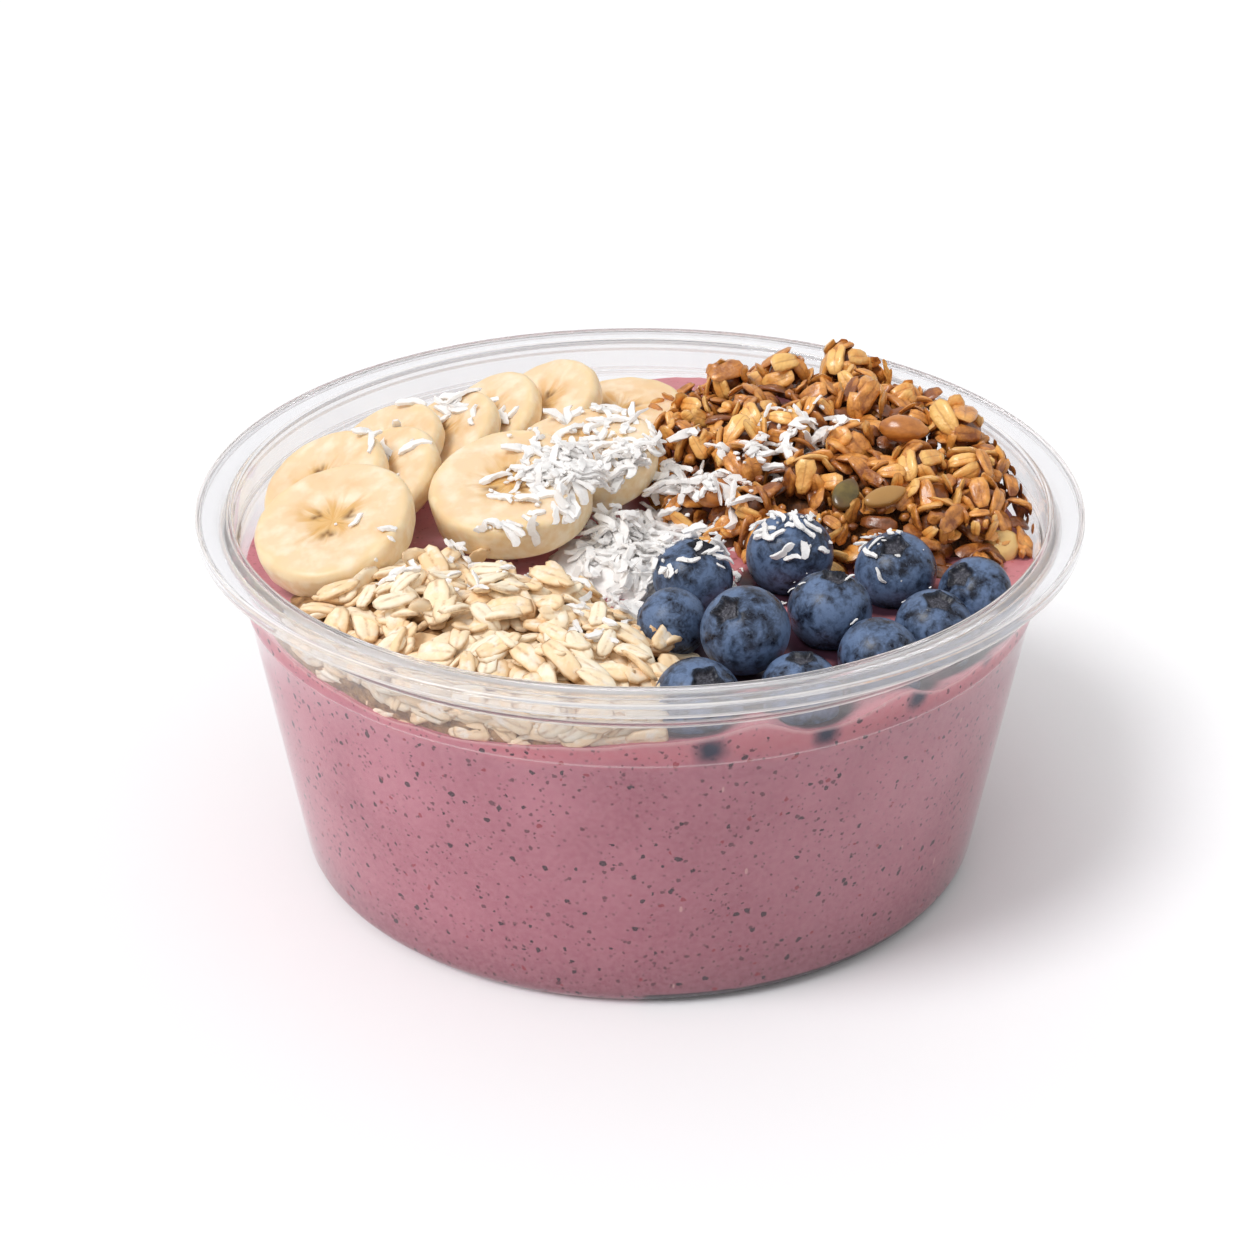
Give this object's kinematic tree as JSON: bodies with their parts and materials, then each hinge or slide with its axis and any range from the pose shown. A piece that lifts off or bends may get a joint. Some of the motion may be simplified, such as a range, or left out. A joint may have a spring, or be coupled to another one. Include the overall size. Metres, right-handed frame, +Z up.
{
  "type": "acai bowl",
  "caption": "Clear round takeaway bowl filled with pink fruit smoothie, topped with fanned banana slices, blueberries, granola, rolled oats and shredded coconut.",
  "frame": {"origin": "centre of the bowl's underside", "axes": "+Z up along the bowl's axis; -Y is the side the picture was taken from, with the berries to the +X side of it"},
  "size_m": [0.165, 0.165, 0.0786],
  "materials": {
    "bowl": "clear, slightly milky moulded plastic",
    "smoothie": "thick pink-mauve fruit smoothie with fine dark specks",
    "banana": "moist cut banana, pale cream with a honey-coloured core",
    "blueberry": "dark blue skin with a dusty bloom",
    "granola": "honey-glazed toasted oat clusters",
    "oats": "dry rolled oat flakes",
    "coconut": "dry white shredded coconut"
  },
  "bodies": {
    "root": {"bowl": "bowl", "smoothie": "smoothie", "banana_1": "banana", "banana_2": "banana", "banana_3": "banana", "banana_4": "banana", "banana_5": "banana", "banana_6": "banana", "banana_7": "banana", "banana_8": "banana", "banana_9": "banana", "banana_10": "banana", "blueberry_1": "blueberry", "blueberry_2": "blueberry", "blueberry_3": "blueberry", "blueberry_4": "blueberry", "blueberry_5": "blueberry", "blueberry_6": "blueberry", "blueberry_7": "blueberry", "blueberry_8": "blueberry", "blueberry_9": "blueberry", "blueberry_10": "blueberry", "blueberry_11": "blueberry", "granola": "granola", "oats": "oats", "coconut": "coconut"}
  },
  "joints": []
}
